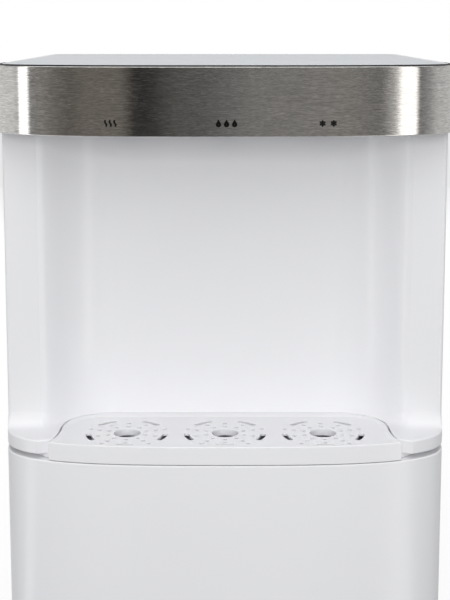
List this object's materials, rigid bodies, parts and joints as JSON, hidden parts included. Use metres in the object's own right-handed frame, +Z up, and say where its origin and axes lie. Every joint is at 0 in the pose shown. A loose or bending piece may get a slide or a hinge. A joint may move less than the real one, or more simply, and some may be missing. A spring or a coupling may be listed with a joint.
{
  "type": "countertop water dispenser",
  "caption": "Countertop water dispenser with hot, normal and cold push-lever taps above an alcove and a lift-out drip tray.",
  "frame": {"origin": "centre of the bounding box, at the level of the feet's undersides", "axes": "+X to the user's right, -Y towards the user, +Z up"},
  "size_m": [0.31, 0.33, 0.48],
  "materials": {
    "white": "gloss white moulding",
    "light_grey": "satin light grey moulding",
    "brushed_band": "stainless sheet brushed along its length",
    "black": "fine moulded texture",
    "rubber_black": "matt",
    "stainless": "satin",
    "foam": "porous",
    "copper": "drawn tube",
    "silicone": "soft satin",
    "black_enamel": "gloss enamel",
    "circuit_board": "solder mask",
    "clear_plastic": "milky",
    "red": "gloss",
    "galvanised": "zinc coated sheet"
  },
  "bodies": {
    "chassis": {"lower_front_panel": "white", "side_panel_left": "white", "side_panel_right": "white", "alcove_panel": "white", "head_soffit": "white", "rear_cover": "white", "drain_spigot": "white", "top_deck": "light_grey", "steel_band": "brushed_band", "band_gasket": "black", "tap_hot": "black", "tap_normal": "black", "tap_cold": "black", "wall_spacer_left": "black", "wall_spacer_right": "black", "power_inlet": "black", "switch_housing_heating": "black", "switch_housing_cooling": "black", "foot_front_left": "rubber_black", "foot_front_right": "rubber_black", "foot_rear_left": "rubber_black", "foot_rear_right": "rubber_black", "compressor_mount_1": "rubber_black", "compressor_mount_2": "rubber_black", "compressor_mount_3": "rubber_black", "lid_hinge_pin": "stainless", "lever_pin_hot": "stainless", "lever_pin_normal": "stainless", "lever_pin_cold": "stainless", "hot_tank": "stainless", "cold_tank": "stainless", "rear_screw_1": "stainless", "rear_screw_2": "stainless", "rear_screw_3": "stainless", "rear_screw_4": "stainless", "cold_jacket": "foam", "filter_drier": "copper", "tube_hot": "silicone", "tube_normal": "silicone", "tube_cold": "silicone", "feed_tube_hot": "silicone", "feed_tube_cold": "silicone", "compressor": "black_enamel", "condenser_coil": "black_enamel", "control_board": "circuit_board", "reservoir": "clear_plastic", "base_pan": "galvanised", "tank_shelf": "galvanised", "mid_shelf": "galvanised", "board_bracket": "galvanised"},
    "lid": {"top_lid": "light_grey"},
    "lever_hot": {"lever_hot": "light_grey"},
    "lever_normal": {"lever_normal": "light_grey"},
    "lever_cold": {"lever_cold": "light_grey"},
    "child_lock": {"child_lock": "red"},
    "tray": {"drip_tray": "light_grey"},
    "grille": {"tray_grille": "white"},
    "switch_heating": {"switch_heating": "red"},
    "switch_cooling": {"switch_cooling": "red"},
    "drain_cap": {"drain_cap": "black"}
  },
  "joints": [
    {"name": "lid_hinge", "type": "hinge", "parent": "chassis", "child": "lid", "pos_m": [0, 0.147, 0.474], "axis": [-1, 0, 0], "range_deg": [0, 100]},
    {"name": "lever_hot_push", "type": "hinge", "parent": "chassis", "child": "lever_hot", "pos_m": [-0.0678, -0.097, 0.454], "axis": [1, 0, 0], "range_deg": [0, 12], "stiffness_Nm_per_rad": 0.08, "springref_deg": -5.73},
    {"name": "lever_normal_push", "type": "hinge", "parent": "chassis", "child": "lever_normal", "pos_m": [0, -0.097, 0.454], "axis": [1, 0, 0], "range_deg": [0, 12], "stiffness_Nm_per_rad": 0.08, "springref_deg": -5.73},
    {"name": "lever_cold_push", "type": "hinge", "parent": "chassis", "child": "lever_cold", "pos_m": [0.0678, -0.097, 0.454], "axis": [1, 0, 0], "range_deg": [0, 12], "stiffness_Nm_per_rad": 0.08, "springref_deg": -5.73},
    {"name": "child_lock_slide", "type": "slide", "parent": "lever_hot", "child": "child_lock", "axis": [1, 0, 0], "range_m": [0, 0.006], "stiffness_N_per_m": 40, "springref_m": -0.001},
    {"name": "tray_slide", "type": "slide", "parent": "chassis", "child": "tray", "axis": [0, -1, 0], "range_m": [0, 0.09]},
    {"name": "grille_lift", "type": "slide", "parent": "tray", "child": "grille", "axis": [0, 0, 1], "range_m": [0, 0.03]},
    {"name": "switch_heating_rock", "type": "hinge", "parent": "chassis", "child": "switch_heating", "pos_m": [0.06, 0.1578, 0.042], "axis": [-1, 0, 0], "range_deg": [0, 16]},
    {"name": "switch_cooling_rock", "type": "hinge", "parent": "chassis", "child": "switch_cooling", "pos_m": [0.092, 0.1578, 0.042], "axis": [-1, 0, 0], "range_deg": [0, 16]},
    {"name": "drain_cap_turn", "type": "hinge", "parent": "chassis", "child": "drain_cap", "pos_m": [-0.04, 0.16, 0.042], "axis": [0, 1, 0], "continuous": true}
  ]
}
